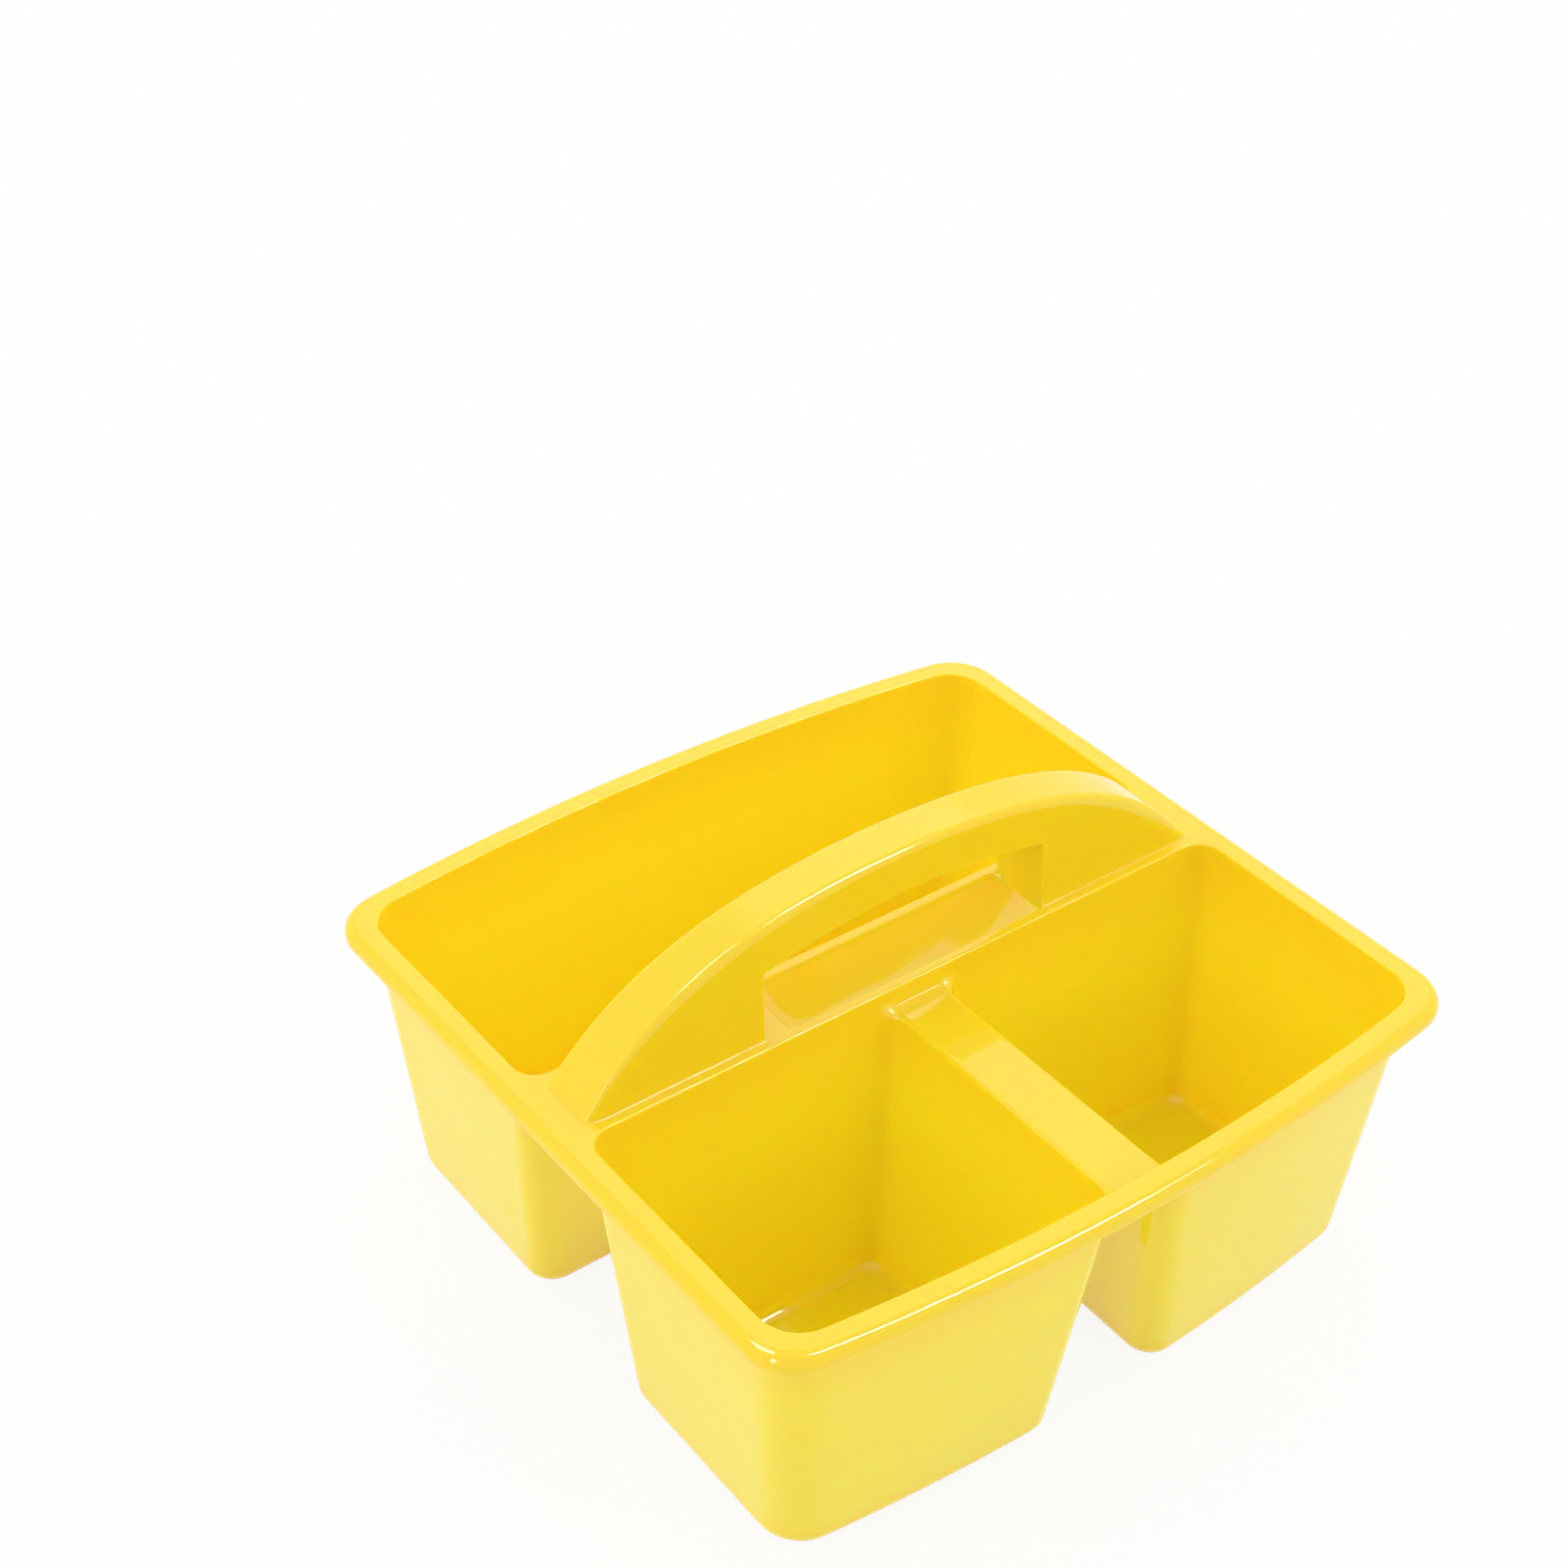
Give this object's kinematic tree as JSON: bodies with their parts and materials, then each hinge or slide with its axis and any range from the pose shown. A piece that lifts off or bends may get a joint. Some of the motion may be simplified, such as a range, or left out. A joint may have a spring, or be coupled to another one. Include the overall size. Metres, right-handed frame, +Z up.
{
  "type": "cleaning caddy",
  "caption": "Carry caddy moulded in glossy plastic, with a long rear tub, small front tubs parted by a dipped divider, a rolled rim and an arched handle with a hand hole.",
  "frame": {"origin": "middle of the footprint, on the plane of the tub undersides", "axes": "+X along the handle, -Y towards the pair of small tubs, +Z up"},
  "size_m": [0.235, 0.2302, 0.1327],
  "materials": {
    "yellow_plastic": "smooth glossy yellow polypropylene"
  },
  "bodies": {
    "root": {"rim": "yellow_plastic", "handle_deck": "yellow_plastic", "rear_tub": "yellow_plastic", "front_left_tub": "yellow_plastic", "front_right_tub": "yellow_plastic", "divider_saddle": "yellow_plastic", "handle_strap": "yellow_plastic", "handle_front_web": "yellow_plastic", "handle_rear_web": "yellow_plastic", "hand_hole_left_jamb": "yellow_plastic", "hand_hole_right_jamb": "yellow_plastic"}
  },
  "joints": []
}
